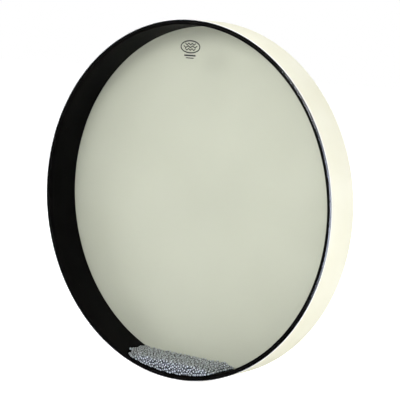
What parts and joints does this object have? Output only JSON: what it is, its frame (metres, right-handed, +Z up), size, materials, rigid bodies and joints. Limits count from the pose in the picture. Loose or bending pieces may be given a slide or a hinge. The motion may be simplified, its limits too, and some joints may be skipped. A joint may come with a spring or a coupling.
{
  "type": "ocean drum",
  "caption": "Shallow round double-headed frame drum with a clear front head, a milky rear head and loose steel beads that roll inside it.",
  "frame": {"origin": "centre of the drum, on its axis, halfway between the two heads", "axes": "+Y along the drum's axis from the clear front head to the milky rear head; +Z up with the drum held upright; +X to the right as seen from the front"},
  "size_m": [0.5588, 0.0636, 0.5588],
  "materials": {
    "shell_black": "satin",
    "clear_film": "gloss",
    "milky_film": "satin",
    "glue": "gloss",
    "tape": "matte",
    "covering_cream": "satin",
    "ink": "matte",
    "bead_steel": "polished"
  },
  "bodies": {
    "drum": {"shell": "shell_black", "front_head": "clear_film", "rear_head": "milky_film", "front_collar_glue": "glue", "rear_collar_glue": "glue", "covering_tape": "tape", "covering": "covering_cream", "printed_mark": "ink"},
    "bead_heap": {"beads": "bead_steel"},
    "left_runner": {"left_runner_bead": "bead_steel"},
    "right_runner": {"right_runner_bead": "bead_steel"}
  },
  "joints": [
    {"name": "heap_roll", "type": "hinge", "parent": "drum", "child": "bead_heap", "pos_m": [0, 0, 0], "axis": [0, 1, 0], "continuous": true},
    {"name": "left_runner_roll", "type": "hinge", "parent": "bead_heap", "child": "left_runner", "pos_m": [0, 0, 0], "axis": [0, 1, 0], "range_deg": [0, 318]},
    {"name": "right_runner_roll", "type": "hinge", "parent": "bead_heap", "child": "right_runner", "pos_m": [0, 0, 0], "axis": [0, 1, 0], "range_deg": [-318, 0]}
  ]
}
